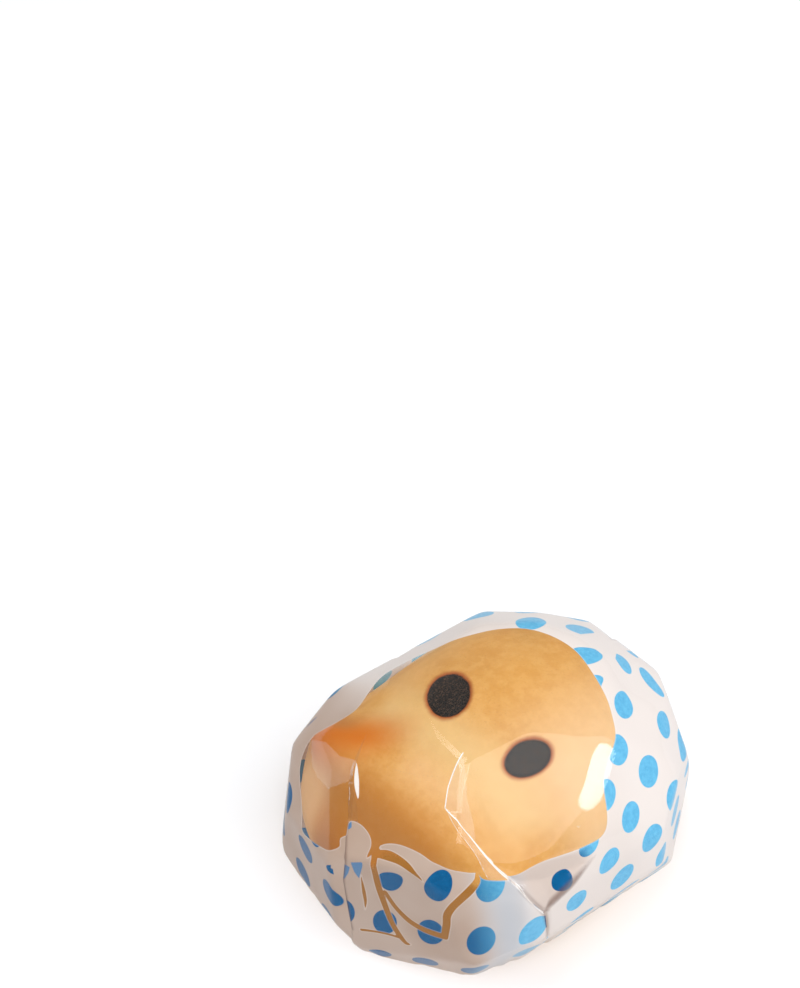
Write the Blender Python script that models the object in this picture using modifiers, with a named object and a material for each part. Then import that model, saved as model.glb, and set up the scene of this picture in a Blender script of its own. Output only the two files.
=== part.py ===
# A filled bun (manju) baked with a face, wrapped tight in a square of film that is
# clear over the face and printed round the sides, and gathered under the base.
# Metres, +Z up. The bun rests flat on its base, face up, brow towards +Y and
# chin towards -Y. The origin is under the middle of the wrapped bun.

import math

import bmesh
import bpy
import numpy as np

# Driving dimensions of the bun, whose midline is set so that the slack film is centred.
# The chin and muzzle slumped a little to one side in the oven.
MIDLINE = 0.0010
HEAD_CENTRE = (MIDLINE, 0.0036, 0.0125)
HEAD_RADII = (0.0206, 0.0222, 0.0170)
CHIN_CENTRE = (MIDLINE - 0.0024, -0.0079, 0.0095)
CHIN_RADII = (0.0214, 0.0170, 0.0120)
MUZZLE_CENTRE = (MIDLINE - 0.0010, -0.0123, 0.0158)
MUZZLE_RADII = (0.0202, 0.0060, 0.0094)
MUZZLE_TILT = 38.0
HEAD_BLEND = 0.0060
MUZZLE_BLEND = 0.0045
BASE_BLEND = 0.0050

# Driving dimensions of the film.
FILM_WALL = 0.0007
FILM_GAP = 0.0005
BASE_HEIGHT = FILM_WALL + FILM_GAP

CORE = (MIDLINE, -0.0009, 0.0120)
GATHER_HEIGHT = -86.2

# Facets that the taut film makes: compass bearing of the outward normal in
# degrees from +X, its height in degrees, and the slack in millimetres.
CROWN_FACETS = [(0, 90, 0.0)] + [(bearing, 72, 0.0) for bearing in range(20, 200, 30)]
BROW_FACETS = [(bearing, 50, 0.0) for bearing in range(36, 120, 25)]
LOOSE_FACETS = [(140, 50, 0.2), (172, 46, 0.2), (200, 48, 0.0)]
SHOULDER_FACETS = [(-5, 26, 0.2), (42, 34, 0.6), (90, 32, 0.5), (130, 30, 0.3), (170, 30, 0.2)]
WALL_FACETS = [(-7, 4, 0.0), (60, 12, 0.3), (98, 10, 0.3), (140, 6, 0.3), (182, 6, 0.0)]
FRONT_FACETS = [(-46, 31, 0.0), (-46, 14, 0.0), (-71, 5, 0.2), (-108, 0, 0.6), (-118, 30, 0.0)]
CORNER_FACETS = [(28, 2, 0.8), (-136, 6, 0.7), (-158, 0, 0.0), (-166, 22, 0.0)]
UNDER_FACETS = [(bearing, -24, 0.0) for bearing in (-7, 60, 98, 140, 182)]
UNDER_FACETS += [(-22, -24, 0.5), (-60, -22, 0.6), (-165, -20, 0.2)]
VISOR_FACETS = [(-13, 58, 0.0), (-95, 56, 0.0), (-120, 58, 0.0), (-148, 44, 0.0)]
FILM_FACETS = (
    CROWN_FACETS + BROW_FACETS + LOOSE_FACETS + SHOULDER_FACETS + WALL_FACETS
    + FRONT_FACETS + CORNER_FACETS + UNDER_FACETS + VISOR_FACETS
)
CREASE_SOFTNESS = 0.00035
TUCK_CLEARANCE = 1.5 * BASE_HEIGHT

# Where the film is tucked in: its edge runs from the low to the high point, given
# as bearing and height in degrees seen from the core, and the tuck opens beside it.
TUCKS = [
    {"low": (-27, -6), "high": (-52, 36), "width": (4, 40), "depth": 0.0016},
    {"low": (-93, -28), "high": (-112, 30), "width": (-8, -14), "depth": 0.0012},
    {"low": (96, -28), "high": (92, 24), "width": (10, 12), "depth": 0.0014},
    {"low": (183, -28), "high": (178, 30), "width": (-9, -12), "depth": 0.0012},
]

# Mesh densities.
BUN_SEGMENTS = 56
BUN_RINGS = 32
FILM_SEGMENTS = 72
WALL_RINGS = 30
BASE_RINGS = 5


def ellipsoid(points, centre, radii, tilt=0.0):
    """Distance from points to an ellipsoid that is turned about X by tilt degrees."""
    offset = points - np.array(centre)
    cosine, sine = math.cos(math.radians(tilt)), math.sin(math.radians(tilt))
    turned = np.stack(
        [
            offset[:, 0],
            offset[:, 1] * cosine + offset[:, 2] * sine,
            offset[:, 2] * cosine - offset[:, 1] * sine,
        ],
        axis=1,
    )
    radii = np.array(radii)
    level = np.linalg.norm(turned / radii, axis=1)
    slope = np.linalg.norm(turned / radii**2, axis=1)
    return level * (level - 1.0) / np.maximum(slope, 1e-9)


def blend_union(first, second, width):
    """The union of two distances, with a fillet of the given width."""
    share = np.clip(0.5 + 0.5 * (second - first) / width, 0.0, 1.0)
    return second * (1.0 - share) + first * share - width * share * (1.0 - share)


def bun_distance(points):
    """Signed distance to the bun: a flattened dome, a chin and a pinched muzzle."""
    dough = blend_union(
        ellipsoid(points, HEAD_CENTRE, HEAD_RADII),
        ellipsoid(points, CHIN_CENTRE, CHIN_RADII),
        HEAD_BLEND,
    )
    muzzle = ellipsoid(points, MUZZLE_CENTRE, MUZZLE_RADII, MUZZLE_TILT)
    dough = blend_union(dough, muzzle, MUZZLE_BLEND)
    base = BASE_HEIGHT - points[:, 2]
    return -blend_union(-dough, -base, BASE_BLEND)


def bun_points(directions):
    """Where rays from the core leave the bun."""
    inner = np.zeros(len(directions))
    outer = np.full(len(directions), 0.045)
    for _ in range(40):
        middle = 0.5 * (inner + outer)
        inside = bun_distance(np.array(CORE) + directions * middle[:, None]) < 0.0
        inner = np.where(inside, middle, inner)
        outer = np.where(inside, outer, middle)
    return np.array(CORE) + directions * outer[:, None]


def facet_normals():
    """Outward unit normals of the film's facets."""
    angles = np.radians([facet[:2] for facet in FILM_FACETS])
    flat = np.cos(angles[:, 1])
    return np.stack(
        [np.cos(angles[:, 0]) * flat, np.sin(angles[:, 0]) * flat, np.sin(angles[:, 1])],
        axis=1,
    )


def facet_offsets(normals, bun):
    """How far out each facet lies: it touches the bun, plus the film and its slack."""
    slack = np.array([facet[2] for facet in FILM_FACETS]) * 0.001
    return (bun @ normals.T).max(axis=0) + BASE_HEIGHT + slack


def ray_directions(bearings, heights):
    """Unit vectors from the core at the given bearings and heights in degrees."""
    turn, lift = np.radians(bearings), np.radians(heights)
    flat = np.cos(lift)
    return np.stack([np.cos(turn) * flat, np.sin(turn) * flat, np.sin(lift)], axis=1)


def tuck_depth(bearings, heights, tuck):
    """How deep a tuck pulls the film in: a sharp edge, then a ramp back out."""
    rise = np.clip((heights - tuck["low"][1]) / (tuck["high"][1] - tuck["low"][1]), 0.0, 1.0)
    edge = tuck["low"][0] + (tuck["high"][0] - tuck["low"][0]) * rise
    width = tuck["width"][0] + (tuck["width"][1] - tuck["width"][0]) * rise
    across = (bearings - edge + 180.0) % 360.0 - 180.0
    share = across / width
    fade = np.clip((heights - tuck["low"][1]) / 6.0, 0.0, 1.0)
    fade = fade * np.clip((tuck["high"][1] - heights) / 8.0, 0.0, 1.0)
    return np.where((share > 0.0) & (share < 1.0), (1.0 - share) * fade * tuck["depth"], 0.0)


def film_points(bearings, heights, bun):
    """The taut film seen from the core: its nearest facet, creased, tucked and flat below."""
    directions = ray_directions(bearings, heights)
    normals = facet_normals()
    room = facet_offsets(normals, bun) - normals @ np.array(CORE)
    facing = directions @ normals.T
    reach = np.where(facing > 0.02, room / np.maximum(facing, 0.02), 1.0)
    nearest = reach.min(axis=1)
    crowd = np.exp((nearest[:, None] - reach) / CREASE_SOFTNESS).sum(axis=1)
    nearest = nearest - CREASE_SOFTNESS * np.log(crowd)
    dough = np.linalg.norm(bun_points(directions) - np.array(CORE), axis=1)
    for tuck in TUCKS:
        tucked = nearest - tuck_depth(bearings, heights, tuck)
        nearest = np.maximum(tucked, np.minimum(nearest, dough + TUCK_CLEARANCE))
    down = np.maximum(-directions[:, 2], 1e-6)
    nearest = np.minimum(nearest, CORE[2] / down)
    return np.array(CORE) + directions * nearest[:, None]


def hem_height(bearings, bun):
    """Height in degrees, below the core, of the edge where the film turns under."""
    low, high = np.full(len(bearings), -80.0), np.full(len(bearings), 0.0)
    for _ in range(20):
        middle = 0.5 * (low + high)
        on_base = film_points(bearings, middle, bun)[:, 2] < 1e-6
        low = np.where(on_base, middle, low)
        high = np.where(on_base, high, middle)
    return 0.5 * (low + high)


def new_material(name, colour, roughness):
    """A plain surface of one colour."""
    material = bpy.data.materials.new(name)
    material.use_nodes = True
    surface = material.node_tree.nodes["Principled BSDF"]
    surface.inputs["Base Color"].default_value = (*colour, 1.0)
    surface.inputs["Roughness"].default_value = roughness
    surface.inputs["Metallic"].default_value = 0.0
    return material


def new_part(name, shape, material):
    """Makes the finished bmesh a smooth-shaded part of the wrapped bun."""
    mesh = bpy.data.meshes.new(name)
    shape.to_mesh(mesh)
    shape.free()
    mesh.materials.append(material)
    mesh.shade_smooth()
    part = bpy.data.objects.new(name, mesh)
    collection.objects.link(part)
    return part


def make_bun():
    """The bun: a sphere pushed out from the core until it meets the dough's surface."""
    shape = bmesh.new()
    bmesh.ops.create_uvsphere(
        shape, u_segments=BUN_SEGMENTS, v_segments=BUN_RINGS, radius=1.0
    )
    rays = np.array([vertex.co for vertex in shape.verts])
    points = bun_points(rays / np.linalg.norm(rays, axis=1)[:, None])
    for vertex, point in zip(shape.verts, points):
        vertex.co = point
    new_part("manju", shape, new_material("baked_dough", (0.72, 0.42, 0.14), 0.45))
    return points


def make_wrapper(bun):
    """The film: a sheet over the bun, turned under, gathered round a hole and thickened."""
    shape = bmesh.new()
    rings = WALL_RINGS + BASE_RINGS
    bmesh.ops.create_grid(shape, x_segments=FILM_SEGMENTS, y_segments=rings, size=1.0)
    places = np.array([vertex.co for vertex in shape.verts])
    bearings = places[:, 0] * 180.0 + 180.0
    down = (1.0 - places[:, 1]) * 0.5 * rings
    hem = hem_height(bearings, bun)
    wall = 90.0 + (hem - 90.0) * down / WALL_RINGS
    under = hem + (GATHER_HEIGHT - hem) * (down - WALL_RINGS) / BASE_RINGS
    points = film_points(bearings, np.where(down < WALL_RINGS + 0.01, wall, under), bun)
    for vertex, point in zip(shape.verts, points):
        vertex.co = point
    bmesh.ops.remove_doubles(shape, verts=shape.verts, dist=1e-6)
    bmesh.ops.recalc_face_normals(shape, faces=shape.faces)
    bmesh.ops.triangulate(shape, faces=shape.faces)
    wrapper = new_part("wrapper", shape, new_material("printed_film", (0.85, 0.86, 0.90), 0.25))
    thickness = wrapper.modifiers.new("film_thickness", "SOLIDIFY")
    thickness.thickness = FILM_WALL
    thickness.offset = -1.0


for leftover in list(bpy.data.objects):
    bpy.data.objects.remove(leftover)
collection = bpy.data.collections.new("wrapped_manju")
bpy.context.scene.collection.children.link(collection)
bun_surface = make_bun()
make_wrapper(bun_surface)
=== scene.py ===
import math

import bmesh
import bpy
import numpy as np
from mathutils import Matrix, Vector, noise


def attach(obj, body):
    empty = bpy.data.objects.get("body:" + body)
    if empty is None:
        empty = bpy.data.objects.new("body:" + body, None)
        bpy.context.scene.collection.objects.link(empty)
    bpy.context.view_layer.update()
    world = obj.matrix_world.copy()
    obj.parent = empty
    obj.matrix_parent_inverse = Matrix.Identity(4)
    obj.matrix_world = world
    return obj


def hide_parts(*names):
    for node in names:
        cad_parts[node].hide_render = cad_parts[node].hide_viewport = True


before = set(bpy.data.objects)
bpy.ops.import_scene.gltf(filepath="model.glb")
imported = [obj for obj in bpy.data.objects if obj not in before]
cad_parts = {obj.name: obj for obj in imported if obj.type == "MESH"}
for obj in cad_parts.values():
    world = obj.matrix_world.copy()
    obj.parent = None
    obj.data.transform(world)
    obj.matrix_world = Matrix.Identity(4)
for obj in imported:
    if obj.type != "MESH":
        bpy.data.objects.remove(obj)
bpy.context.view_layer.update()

# The camera looks down on the wrapped bun from the front right. It is aimed so
# that a point inside the bun lands on its pixel of the 800 x 988 frame.
FRAME = (800, 988)
AIM_PIXEL = (488, 800)
AIM_POINT = Vector((0.0036, -0.0059, 0.016))
CAMERA_TURN = math.radians(43.5)
CAMERA_LIFT = math.radians(53.5)
CAMERA_DISTANCE = 0.45
LENS = 121.3
SENSOR = 36.0

to_camera = Vector((
    math.sin(CAMERA_TURN) * math.cos(CAMERA_LIFT),
    -math.cos(CAMERA_TURN) * math.cos(CAMERA_LIFT),
    math.sin(CAMERA_LIFT),
))
to_right = Vector((math.cos(CAMERA_TURN), math.sin(CAMERA_TURN), 0.0))
to_top = to_camera.cross(to_right)
pixel_size = CAMERA_DISTANCE * SENSOR / (LENS * FRAME[1])
eye_point = AIM_POINT + to_camera * CAMERA_DISTANCE
frame_centre = (
    AIM_POINT
    - to_right * (AIM_PIXEL[0] - FRAME[0] / 2) * pixel_size
    + to_top * (AIM_PIXEL[1] - FRAME[1] / 2) * pixel_size
)
camera_data = bpy.data.cameras.new("camera")
camera_data.lens = LENS
camera_data.sensor_width = SENSOR
camera = bpy.data.objects.new("camera", camera_data)
camera.location = eye_point
camera.rotation_euler = (frame_centre - eye_point).to_track_quat("-Z", "Y").to_euler()
bpy.context.scene.collection.objects.link(camera)
bpy.context.scene.camera = camera
bpy.context.scene.view_settings.view_transform = "Standard"


# The bun is soft wheat dough round a filling: a flattened dome for the head, a
# lower chin, and a muzzle pinched up across the front. It is baked pale gold,
# browner where it stands out, and its two eyes are burnt in with a hot iron.
MIDLINE = 0.0010
HEAD_CENTRE = (MIDLINE, 0.0036, 0.0125)
HEAD_RADII = (0.0206, 0.0222, 0.0170)
CHIN_CENTRE = (MIDLINE - 0.0024, -0.0079, 0.0095)
CHIN_RADII = (0.0214, 0.0170, 0.0120)
MUZZLE_CENTRE = (MIDLINE - 0.0010, -0.0123, 0.0158)
MUZZLE_RADII = (0.0202, 0.0060, 0.0094)
MUZZLE_TILT = 38.0
HEAD_BLEND = 0.0060
MUZZLE_BLEND = 0.0045
BASE_BLEND = 0.0050
BASE_HEIGHT = 0.0012
CORE = np.array((MIDLINE, -0.0009, 0.0120))
BEYOND_DOUGH = 0.045
BUN_SEGMENTS = 320
BUN_RINGS = 200
LUMP_SIZE = 0.009
LUMP_HEIGHT = 0.00016
LUMPS_START = 0.004
LUMPS_FULL = 0.009
EYE_DEPTH = 0.00035

# Each eye's place on the face, its half length and half width in metres, and the
# bearing of its length in degrees from +X.
EYES = [
    {"at": (-0.0059, -0.0023), "half": (0.0038, 0.00285), "turn": 143.0},
    {"at": (0.0088, -0.0022), "half": (0.0033, 0.0022), "turn": 73.0},
]


def ellipsoid(points, centre, radii, tilt=0.0):
    """Distance from points to an ellipsoid that is turned about X by tilt degrees."""
    offset = points - np.array(centre)
    cosine, sine = math.cos(math.radians(tilt)), math.sin(math.radians(tilt))
    turned = np.stack(
        [
            offset[:, 0],
            offset[:, 1] * cosine + offset[:, 2] * sine,
            offset[:, 2] * cosine - offset[:, 1] * sine,
        ],
        axis=1,
    )
    radii = np.array(radii)
    level = np.linalg.norm(turned / radii, axis=1)
    slope = np.linalg.norm(turned / radii**2, axis=1)
    return level * (level - 1.0) / np.maximum(slope, 1e-9)


def blend_union(first, second, width):
    """The union of two distances, with a fillet of the given width."""
    share = np.clip(0.5 + 0.5 * (second - first) / width, 0.0, 1.0)
    return second * (1.0 - share) + first * share - width * share * (1.0 - share)


def bun_distance(points):
    """Signed distance to the dough: dome, chin and muzzle, cut flat below."""
    dough = blend_union(
        ellipsoid(points, HEAD_CENTRE, HEAD_RADII),
        ellipsoid(points, CHIN_CENTRE, CHIN_RADII),
        HEAD_BLEND,
    )
    muzzle = ellipsoid(points, MUZZLE_CENTRE, MUZZLE_RADII, MUZZLE_TILT)
    dough = blend_union(dough, muzzle, MUZZLE_BLEND)
    base = BASE_HEIGHT - points[:, 2]
    return -blend_union(-dough, -base, BASE_BLEND)


def bun_points(directions):
    """Where rays from the core leave the dough."""
    inner = np.zeros(len(directions))
    outer = np.full(len(directions), BEYOND_DOUGH)
    for _ in range(26):
        middle = 0.5 * (inner + outer)
        inside = bun_distance(CORE + directions * middle[:, None]) < 0.0
        inner = np.where(inside, middle, inner)
        outer = np.where(inside, outer, middle)
    return CORE + directions * outer[:, None]


def smooth_ramp(values, low, high):
    """0 where values are below low, 1 above high, soft between; low may exceed high."""
    share = np.clip((values - low) / (high - low), 0.0, 1.0)
    return share * share * (3.0 - 2.0 * share)


def eye_dent(points):
    """How deep the burnt eyes are pressed into the dough."""
    dent = np.zeros(len(points))
    for eye in EYES:
        turn = math.radians(eye["turn"])
        off = points[:, :2] - np.array(eye["at"])
        lengthwise = off[:, 0] * math.cos(turn) + off[:, 1] * math.sin(turn)
        sideways = off[:, 1] * math.cos(turn) - off[:, 0] * math.sin(turn)
        ring = np.hypot(lengthwise / eye["half"][0], sideways / eye["half"][1])
        above = points[:, 2] > CORE[2]
        dent = np.maximum(dent, np.where(above, smooth_ramp(ring, 1.12, 0.86), 0.0))
    return dent * EYE_DEPTH


def new_piece(name, shape, material):
    """Makes a finished bmesh a smooth-shaded piece with one material."""
    mesh = bpy.data.meshes.new(name)
    shape.to_mesh(mesh)
    shape.free()
    mesh.materials.append(material)
    mesh.shade_smooth()
    piece = bpy.data.objects.new(name, mesh)
    bpy.context.scene.collection.objects.link(piece)
    return piece


class Tone:
    """One socket of a material. Sums and products of it add Math nodes."""

    def __init__(self, tree, socket=None):
        self.tree = tree
        self.socket = socket

    def node(self, kind, settings=None, sockets=None):
        """Adds a node: its settings first, then the values or links of its sockets."""
        made = self.tree.nodes.new(kind)
        for name, value in (settings or {}).items():
            setattr(made, name, value)
        for name, value in (sockets or {}).items():
            if isinstance(value, Tone):
                self.tree.links.new(value.socket, made.inputs[name])
            else:
                made.inputs[name].default_value = value
        return made

    def tone(self, kind, output, settings=None, sockets=None):
        """Adds a node and wraps one of its outputs."""
        return Tone(self.tree, self.node(kind, settings, sockets).outputs[output])

    def join(self, operation, *values):
        """Adds a Math node of the given values."""
        return self.tone("ShaderNodeMath", 0, {"operation": operation}, dict(enumerate(values)))

    def __add__(self, other):
        return self.join("ADD", self, other)

    def __radd__(self, other):
        return self.join("ADD", other, self)

    def __sub__(self, other):
        return self.join("SUBTRACT", self, other)

    def __rsub__(self, other):
        return self.join("SUBTRACT", other, self)

    def __mul__(self, other):
        return self.join("MULTIPLY", self, other)

    def __rmul__(self, other):
        return self.join("MULTIPLY", other, self)

    def __truediv__(self, other):
        return self.join("DIVIDE", self, other)

    def least(self, other):
        """The smaller of this and another."""
        return self.join("MINIMUM", self, other)

    def most(self, other):
        """The larger of this and another."""
        return self.join("MAXIMUM", self, other)

    def size(self):
        """This without its sign."""
        return self.join("ABSOLUTE", self)

    def ramp(self, low, high):
        """0 where this is below low, 1 above high, soft between; low may exceed high."""
        settings = {"interpolation_type": "SMOOTHSTEP"}
        sockets = {"Value": self, "From Min": low, "From Max": high}
        if low > high:
            sockets.update({"From Min": high, "From Max": low, "To Min": 1.0, "To Max": 0.0})
        return self.tone("ShaderNodeMapRange", 0, settings, sockets)

    def scaled(self, factor):
        """This vector times a number."""
        return self.tone("ShaderNodeVectorMath", 0, {"operation": "SCALE"}, {0: self, "Scale": factor})

    def mix(self, first, second):
        """The first colour where this is 0, the second where it is 1."""
        settings = {"data_type": "RGBA"}
        sockets = {0: self, 6: first, 7: second}
        return self.tone("ShaderNodeMix", 2, settings, sockets)

    def grain(self, size, detail=2.0, roughness=0.5):
        """Noise over this vector, 0 to 1, with lumps of the given size in its units."""
        sockets = {"Vector": self, "Scale": 1.0 / size, "Detail": detail, "Roughness": roughness}
        return self.tone("ShaderNodeTexNoise", "Fac", None, sockets)

    def axes(self):
        """The three parts of this vector."""
        parts = self.node("ShaderNodeSeparateXYZ", None, {"Vector": self})
        return [Tone(self.tree, output) for output in parts.outputs]


def new_material(name):
    """An empty material and the start of its node tree."""
    material = bpy.data.materials.new(name)
    material.use_nodes = True
    material.node_tree.nodes.clear()
    return material, Tone(material.node_tree)


def finish_material(start, shader):
    """Joins the last shader to the material's output."""
    start.node("ShaderNodeOutputMaterial", None, {"Surface": shader})


def colour(red, green, blue):
    """An sRGB colour from 0 to 255 as the linear one that a socket takes."""
    linear = []
    for level in (red, green, blue):
        level = level / 255.0
        linear.append(level / 12.92 if level <= 0.04045 else ((level + 0.055) / 1.055) ** 2.4)
    return (*linear, 1.0)


def bell(tone, centre, width):
    """1 at the centre, fading to 0 at a width to either side of it."""
    return ((tone - centre) / width).size().ramp(1.0, 0.0)


def hypotenuse(first, second):
    """The length of two tones at right angles."""
    return first.join("SQRT", first * first + second * second)


def dough_material():
    """Baked dough: gold, browned on what stands out, with burnt eyes, fine pores, and painted light and
    shade.
    """
    material, start = new_material("baked_dough")
    place = start.tone("ShaderNodeTexCoord", "Object").scaled(1000.0)
    across, along, height = place.axes()

    patches = place.grain(8.0, 3.0)
    mottle = place.grain(1.5, 4.0, 0.65)
    pores = place.grain(0.28, 3.0, 0.65)

    gold = patches.ramp(0.3, 0.7).mix(colour(208, 147, 66), colour(217, 158, 78))
    tone = (mottle.ramp(0.35, 0.7) * 0.5).mix(gold, colour(228, 174, 100))
    tone = (pores.ramp(0.55, 0.72) * 0.35).mix(tone, colour(186, 122, 52))

    groove = bell(along, -7.5, 6.5) * height.ramp(20.5, 24.0)
    tone = (groove * 0.6).mix(tone, colour(236, 202, 142))
    # Painted light: the right cheek and muzzle are coloured paler, as if lit from the right.
    cheek = across.ramp(-1.0, 14.0) * along.ramp(-9.0, 1.0) * height.ramp(10.0, 15.0)
    tone = (cheek * 0.6).mix(tone, colour(240, 204, 160))
    # Painted light: the back left of the head is coloured paler.
    back_left = across.ramp(-9.0, -14.0) * along.ramp(-8.0, -3.0)
    tone = (back_left * 0.35).mix(tone, colour(236, 188, 122))
    slope = bell(along, -13.0, 4.5) * across.ramp(-6.0, -1.0) * across.ramp(10.0, 3.0)
    tone = (slope * 0.35).mix(tone, colour(242, 200, 150))
    # Under the muzzle the dough is darker brown: partly browned in the bake, partly painted shade.
    front = along.ramp(-14.0, -20.0) * across.ramp(17.0, 7.0)
    tone = (front * 0.7).mix(tone, colour(186, 110, 26))
    # Painted shade low on the front, below the muzzle.
    low = height.ramp(19.0, 12.0) * along.ramp(-6.0, -12.0) * across.ramp(-11.5, -7.5)
    tone = (low * 0.85).mix(tone, colour(178, 108, 40))
    # Painted light: paler low on the front left.
    left_low_light = across.ramp(-9.5, -13.5) * along.ramp(-16.0, -18.5) * height.ramp(21.5, 16.5)
    tone = (left_low_light * 0.6).mix(tone, colour(240, 188, 126))
    left_end = bell(along - across * 0.41, -8.5, 7.0) * across.ramp(-3.0, -12.0)
    left_end = left_end * height.ramp(15.0, 19.0)
    tone = left_end.mix(tone, colour(208, 112, 2))
    tip = left_end * across.ramp(-12.5, -16.0) * along.ramp(-14.5, -12.0)
    tone = (tip * 0.6).mix(tone, colour(156, 112, 60))
    foot = height.ramp(7.0, 2.0)
    tone = foot.mix(tone, colour(226, 182, 116))

    burnt = None
    for eye in EYES:
        cosine, sine = math.cos(math.radians(eye["turn"])), math.sin(math.radians(eye["turn"]))
        off_across = across - eye["at"][0] * 1000.0
        off_along = along - eye["at"][1] * 1000.0
        lengthwise = (off_across * cosine + off_along * sine) / (eye["half"][0] * 1000.0)
        sideways = (off_along * cosine - off_across * sine) / (eye["half"][1] * 1000.0)
        ring = hypotenuse(lengthwise, sideways)
        burnt = ring if burnt is None else burnt.least(ring)
    # The burns have uneven rims, and there are none low on the bun.
    burnt = burnt + (mottle - 0.5) * 0.10 + height.ramp(12.0, 10.0) * 9.0
    tone = (burnt.ramp(1.26, 1.0) * 0.9).mix(tone, colour(160, 72, 16))
    char = pores.ramp(0.45, 0.75).mix(colour(8, 4, 2), colour(84, 62, 46))
    tone = burnt.ramp(1.04, 0.96).mix(tone, char)

    dust = (pores - 0.5) * 0.12 + (mottle - 0.5) * 0.25
    bump = {"Strength": 0.5, "Distance": 0.0003, "Height": dust}
    shader = start.tone("ShaderNodeBsdfPrincipled", 0, None, {
        "Base Color": tone,
        "Roughness": 0.62 - 0.12 * burnt.ramp(0.9, 1.1),
        "Specular IOR Level": 0.25,
        "Normal": start.tone("ShaderNodeBump", 0, None, bump),
        "Subsurface Weight": 0.12,
        "Subsurface Radius": (0.9, 0.45, 0.2),
        "Subsurface Scale": 0.0015,
    })
    finish_material(start, shader)
    return material


def make_bun():
    """The bun: a fine sphere pushed out to the dough, with soft lumps and eye dents."""
    shape = bmesh.new()
    bmesh.ops.create_uvsphere(shape, u_segments=BUN_SEGMENTS, v_segments=BUN_RINGS, radius=1.0)
    rays = np.array([vertex.co for vertex in shape.verts])
    rays /= np.linalg.norm(rays, axis=1)[:, None]
    points = bun_points(rays)
    lumps = np.array([noise.noise(Vector(point / LUMP_SIZE)) for point in points])
    lumps *= LUMP_HEIGHT * smooth_ramp(points[:, 2], LUMPS_START, LUMPS_FULL)
    sink = eye_dent(points) - lumps
    for vertex, point in zip(shape.verts, points - rays * sink[:, None]):
        vertex.co = point
    bun = new_piece("manju_dough", shape, dough_material())
    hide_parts("manju")
    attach(bun, "root")
    return points


bun_surface = make_bun()


# The wrapper is a square of thin clear film. It is drawn down over the bun, its
# spare folded into flat pleats, and its edges are gathered and pressed under.
# Taut between what it touches, it stands in flat facets with sharp creases.

# Each facet is given as the bearing and height in degrees that it faces, and the
# millimetres of slack that hold it off the dough.
CROWN_FACETS = [(0, 90, 0.0)] + [(bearing, 72, 0.0) for bearing in range(20, 200, 30)]
BROW_FACETS = [(bearing, 50, 0.0) for bearing in range(36, 120, 25)]
LOOSE_FACETS = [(140, 50, 0.2), (172, 46, 0.2), (200, 48, 0.0)]
SHOULDER_FACETS = [(-5, 26, 0.2), (42, 34, 0.6), (90, 32, 0.5), (130, 30, 0.3), (170, 30, 0.2)]
WALL_FACETS = [(-7, 4, 0.0), (60, 12, 0.3), (98, 10, 0.3), (140, 6, 0.3), (182, 6, 0.0)]
FRONT_FACETS = [(-46, 31, 0.0), (-46, 14, 0.0), (-71, 5, 0.2), (-108, 0, 0.6), (-118, 30, 0.0)]
CORNER_FACETS = [(28, 2, 0.8), (-136, 6, 0.7), (-158, 0, 0.0), (-166, 22, 0.0)]
UNDER_FACETS = [(bearing, -24, 0.0) for bearing in (-7, 60, 98, 140, 182)]
UNDER_FACETS += [(-22, -24, 0.5), (-60, -22, 1.4), (-100, -24, 2.5), (-165, -20, 0.2)]
VISOR_FACETS = [(-13, 58, 0.0), (-95, 56, 0.0), (-120, 58, 0.0), (-148, 44, 0.0)]
VISOR_FACETS += [(1, 49, -0.05), (10, 40, -0.05), (-4, 41, 0.3)]
FILM_FACETS = (
    CROWN_FACETS + BROW_FACETS + LOOSE_FACETS + SHOULDER_FACETS + WALL_FACETS
    + FRONT_FACETS + CORNER_FACETS + UNDER_FACETS + VISOR_FACETS
)
CREASE_SOFTNESS = 0.00022
TUCK_CLEARANCE = 0.0010
WRINKLE_DEPTH = 0.00022
WRINKLE_CLEARANCE = 0.0004
WRINKLES_START = -12.0
WRINKLES_FULL = -36.0
SHARP_ANGLE = 34.0

# A pleat runs down the film as (height, bearing) in degrees seen from the core. The
# film steps in at its edge and comes back out at its far line; depths are by height.
PLEATS = {
    "midline": {
        "edge": [(-28, -89), (-14, -89.4), (-2, -91.9), (6.2, -93.4), (14.5, -93.4), (17, -95.3),
                 (19.5, -98.5), (22.5, -101.4), (26, -107.2), (32, -118.5), (40, -130)],
        "far": [(-28, -94), (-10, -95), (3, -97), (12.4, -101.5), (16.7, -108.1), (21.7, -117.1),
                (30, -126), (40, -131)],
        "depth": [(-28, 0), (-18, 0.4), (5, 0.9), (12, 1.6), (24, 1.6), (32, 0.6), (40, 0)],
    },
    "dart": {
        "edge": [(-7, -26.5), (7.3, -28.1), (20.2, -36.1), (26.3, -42.5), (32, -48.4),
                 (37.2, -54.4), (41.5, -60.6), (43.8, -68), (51, -70.7), (64, -71)],
        "far": [(-7, -26), (-3, -25.5), (6.2, -26.6), (9.2, -24.0), (10.8, -20.5), (12.7, -16),
                (15.4, -10), (17.5, -4), (22, -3), (28, -20), (34.5, -50), (42, -54.2),
                (48.4, -58.7), (56.3, -62.7), (64, -70.5)],
        "depth": [(-7, 0), (3, 1.2), (18, 2.0), (24, 0.9), (29, 0), (34.5, 0), (42, -0.55),
                  (50, -0.55), (64, 0)],
    },
    "back_right": {
        "edge": [(-28, 96), (24, 92)],
        "far": [(-28, 106), (24, 104)],
        "depth": [(-28, 0.0), (-18, 1.2), (10, 1.0), (24, 0.0)],
    },
    "back_left": {
        "edge": [(-28, 183), (30, 178)],
        "far": [(-28, 174), (30, 166)],
        "depth": [(-28, 0.0), (-18, 1.2), (14, 1.0), (30, 0.0)],
    },
}

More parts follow.
